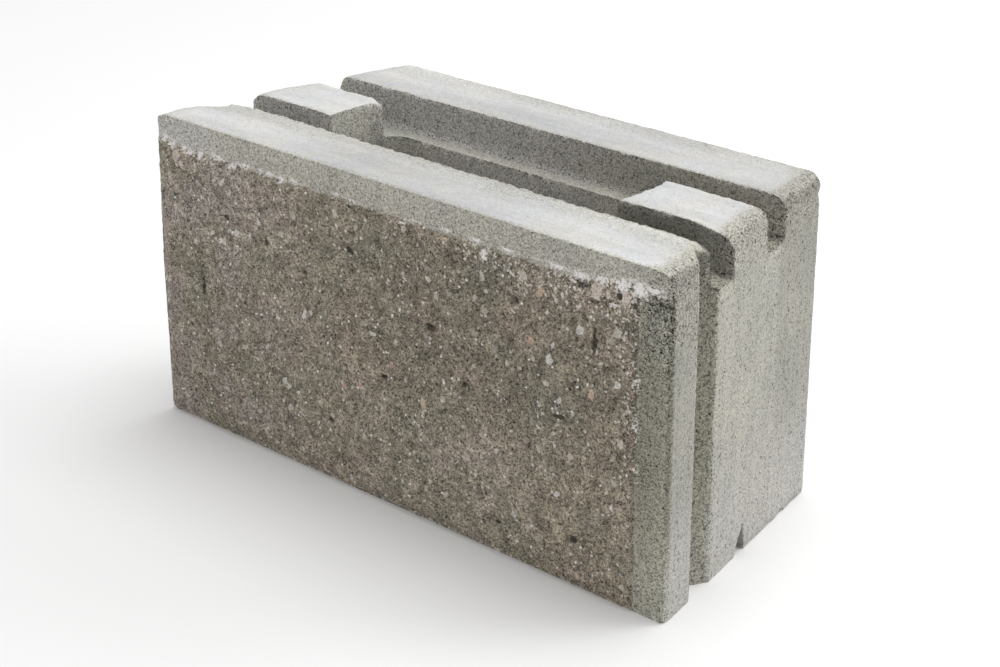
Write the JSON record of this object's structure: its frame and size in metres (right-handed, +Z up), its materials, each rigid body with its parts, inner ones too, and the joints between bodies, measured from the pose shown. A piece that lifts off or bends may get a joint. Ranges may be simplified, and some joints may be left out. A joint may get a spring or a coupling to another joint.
{
  "type": "concrete walling block",
  "caption": "Hollow split-face concrete walling block with tapered ends, a core through it and grooves along the top for lining up and tying courses.",
  "frame": {"origin": "middle of the base's bounding rectangle, on the ground", "axes": "+X along the length, to the right of someone facing the split face; -Y out of the split face; +Z up"},
  "size_m": [0.3982, 0.179, 0.196],
  "materials": {
    "concrete": "cast grey concrete, fine open grain; the front split rough, showing stone chips"
  },
  "bodies": {
    "root": {"block": "concrete"}
  },
  "joints": []
}
